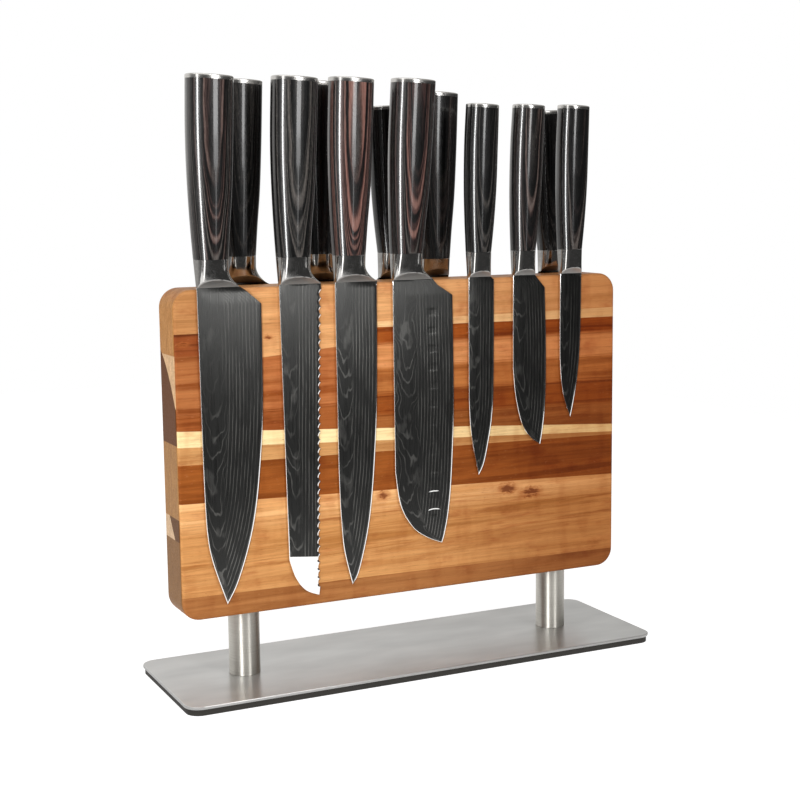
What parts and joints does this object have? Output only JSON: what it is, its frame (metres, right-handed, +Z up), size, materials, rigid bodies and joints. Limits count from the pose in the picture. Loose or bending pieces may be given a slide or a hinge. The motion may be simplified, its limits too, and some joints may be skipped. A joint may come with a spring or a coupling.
{
  "type": "magnetic knife stand",
  "caption": "Double-sided magnetic knife stand: a laminated wooden board on two steel posts and a steel base, with dark knives hanging flat on both faces.",
  "frame": {"origin": "centre of the base's underside, on the surface it stands on", "axes": "+X along the board to the right as seen from the front, +Y to the back, +Z up"},
  "size_m": [0.334, 0.105, 0.3808],
  "materials": {
    "base_steel": "brushed along its length, satin",
    "pad_rubber": "matt black",
    "post_steel": "fine brushed, bright",
    "bolt_steel": "plain",
    "board_wood": "oiled laminated acacia with light and dark strips",
    "magnet": "nickel grey, hidden",
    "blade_coating": "near-black patterned steel, satin",
    "bolster_steel": "polished",
    "handle_laminate": "glossy black and dark brown laminated wood"
  },
  "bodies": {
    "stand": {"base_plate": "base_steel", "base_pad": "pad_rubber", "left_post": "post_steel", "right_post": "post_steel", "left_bolt": "bolt_steel", "right_bolt": "bolt_steel", "front_board": "board_wood", "back_board": "board_wood", "front_upper_magnet_bar": "magnet", "front_lower_magnet_bar": "magnet", "back_upper_magnet_bar": "magnet", "back_lower_magnet_bar": "magnet"},
    "chef_knife": {"chef_blade": "blade_coating", "chef_bolster": "bolster_steel", "chef_handle": "handle_laminate", "chef_end_cap": "bolster_steel"},
    "bread_knife": {"bread_blade": "blade_coating", "bread_bolster": "bolster_steel", "bread_handle": "handle_laminate", "bread_end_cap": "bolster_steel"},
    "slicing_knife": {"slicing_blade": "blade_coating", "slicing_bolster": "bolster_steel", "slicing_handle": "handle_laminate", "slicing_end_cap": "bolster_steel"},
    "santoku_knife": {"santoku_blade": "blade_coating", "santoku_bolster": "bolster_steel", "santoku_handle": "handle_laminate", "santoku_end_cap": "bolster_steel"},
    "utility_knife": {"utility_blade": "blade_coating", "utility_bolster": "bolster_steel", "utility_handle": "handle_laminate", "utility_end_cap": "bolster_steel"},
    "small_santoku_knife": {"small_santoku_blade": "blade_coating", "small_santoku_bolster": "bolster_steel", "small_santoku_handle": "handle_laminate", "small_santoku_end_cap": "bolster_steel"},
    "paring_knife": {"paring_blade": "blade_coating", "paring_bolster": "bolster_steel", "paring_handle": "handle_laminate", "paring_end_cap": "bolster_steel"},
    "nakiri_knife": {"nakiri_blade": "blade_coating", "nakiri_bolster": "bolster_steel", "nakiri_handle": "handle_laminate", "nakiri_end_cap": "bolster_steel"},
    "carving_knife": {"carving_blade": "blade_coating", "carving_bolster": "bolster_steel", "carving_handle": "handle_laminate", "carving_end_cap": "bolster_steel"},
    "steak_knife": {"steak_blade": "blade_coating", "steak_bolster": "bolster_steel", "steak_handle": "handle_laminate", "steak_end_cap": "bolster_steel"},
    "boning_knife": {"boning_blade": "blade_coating", "boning_bolster": "bolster_steel", "boning_handle": "handle_laminate", "boning_end_cap": "bolster_steel"},
    "petty_knife": {"petty_blade": "blade_coating", "petty_bolster": "bolster_steel", "petty_handle": "handle_laminate", "petty_end_cap": "bolster_steel"}
  },
  "joints": [
    {"name": "chef_pull", "type": "slide", "parent": "stand", "child": "chef_knife", "axis": [0, -1, 0], "range_m": [0, 0.1]},
    {"name": "bread_pull", "type": "slide", "parent": "stand", "child": "bread_knife", "axis": [0, -1, 0], "range_m": [0, 0.1]},
    {"name": "slicing_pull", "type": "slide", "parent": "stand", "child": "slicing_knife", "axis": [0, -1, 0], "range_m": [0, 0.1]},
    {"name": "santoku_pull", "type": "slide", "parent": "stand", "child": "santoku_knife", "axis": [0, -1, 0], "range_m": [0, 0.1]},
    {"name": "utility_pull", "type": "slide", "parent": "stand", "child": "utility_knife", "axis": [0, -1, 0], "range_m": [0, 0.1]},
    {"name": "small_santoku_pull", "type": "slide", "parent": "stand", "child": "small_santoku_knife", "axis": [0, -1, 0], "range_m": [0, 0.1]},
    {"name": "paring_pull", "type": "slide", "parent": "stand", "child": "paring_knife", "axis": [0, -1, 0], "range_m": [0, 0.1]},
    {"name": "nakiri_pull", "type": "slide", "parent": "stand", "child": "nakiri_knife", "axis": [0, 1, 0], "range_m": [0, 0.1]},
    {"name": "carving_pull", "type": "slide", "parent": "stand", "child": "carving_knife", "axis": [0, 1, 0], "range_m": [0, 0.1]},
    {"name": "steak_pull", "type": "slide", "parent": "stand", "child": "steak_knife", "axis": [0, 1, 0], "range_m": [0, 0.1]},
    {"name": "boning_pull", "type": "slide", "parent": "stand", "child": "boning_knife", "axis": [0, 1, 0], "range_m": [0, 0.1]},
    {"name": "petty_pull", "type": "slide", "parent": "stand", "child": "petty_knife", "axis": [0, 1, 0], "range_m": [0, 0.1]}
  ]
}
